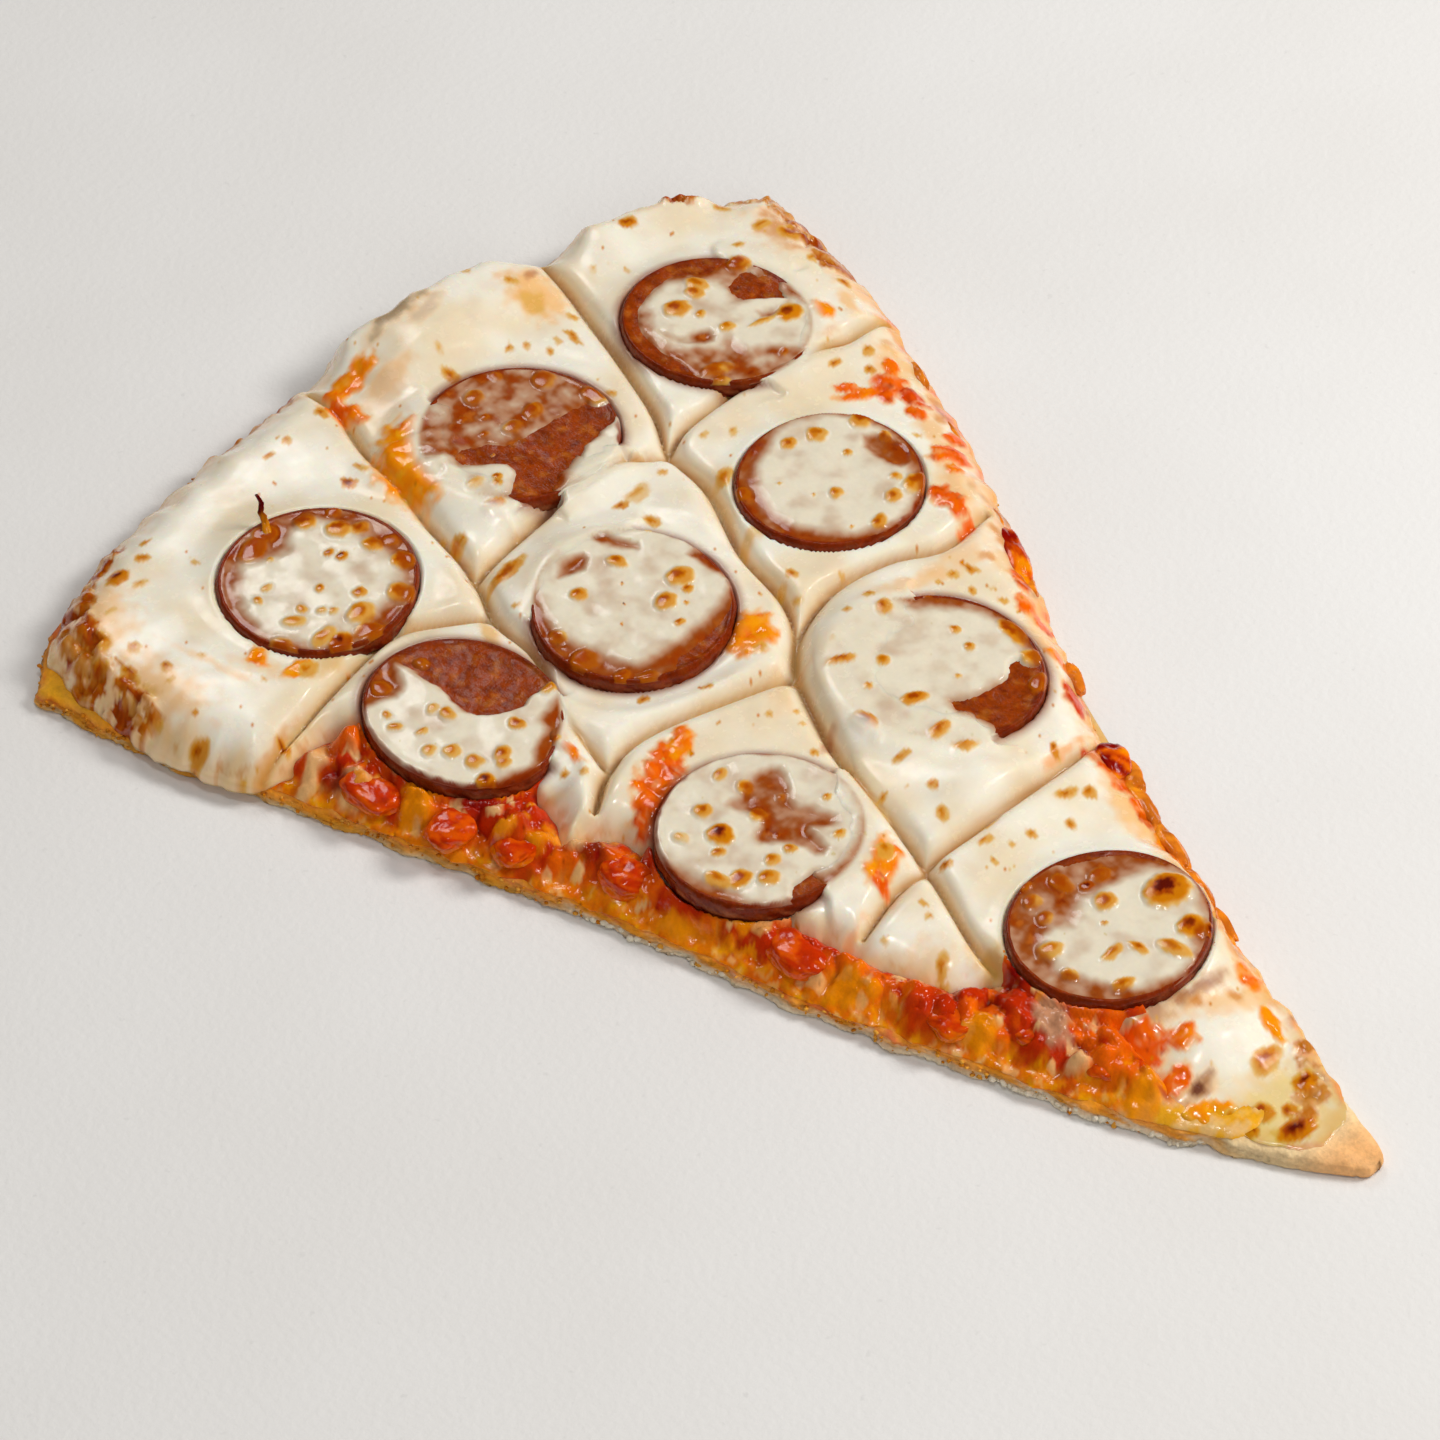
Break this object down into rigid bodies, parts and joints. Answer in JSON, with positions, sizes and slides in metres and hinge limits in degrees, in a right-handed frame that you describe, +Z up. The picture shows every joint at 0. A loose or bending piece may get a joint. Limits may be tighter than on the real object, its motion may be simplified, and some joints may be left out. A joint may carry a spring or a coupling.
{
  "type": "pizza slice",
  "caption": "Flat wedge of thin-crust pizza with pillowed cheese, pepperoni rounds under melted cheese and bare tomato sauce along one cut side.",
  "frame": {"origin": "on the flat underside of the crust, on the slice's long middle line, halfway between the tip and the rim", "axes": "+Z up, +Y from the tip towards the baked rim, +X to the right seen from the tip, so the cut side with the bare sauce is at -X"},
  "size_m": [0.1677, 0.2367, 0.0125],
  "materials": {
    "crust": "matt baked dough, toasted underside",
    "sauce": "wet cooked tomato sauce",
    "cheese": "soft melted cheese, slightly glossy",
    "pepperoni": "cooked cured sausage, oily sheen",
    "tomato": "wet cooked tomato"
  },
  "bodies": {
    "root": {"crust": "crust", "sauce": "sauce", "cheese": "cheese", "pepperoni_1": "pepperoni", "pepperoni_2": "pepperoni", "pepperoni_3": "pepperoni", "pepperoni_4": "pepperoni", "pepperoni_5": "pepperoni", "pepperoni_6": "pepperoni", "pepperoni_7": "pepperoni", "pepperoni_8": "pepperoni", "pepperoni_9": "pepperoni", "melted_cheese_1": "cheese", "melted_cheese_2": "cheese", "melted_cheese_3": "cheese", "melted_cheese_4": "cheese", "melted_cheese_5": "cheese", "melted_cheese_6": "cheese", "melted_cheese_7": "cheese", "melted_cheese_8": "cheese", "melted_cheese_9": "cheese", "tomato_1": "tomato", "tomato_2": "tomato", "tomato_3": "tomato", "tomato_4": "tomato", "tomato_5": "tomato", "tomato_6": "tomato", "tomato_7": "tomato", "tomato_8": "tomato"}
  },
  "joints": []
}
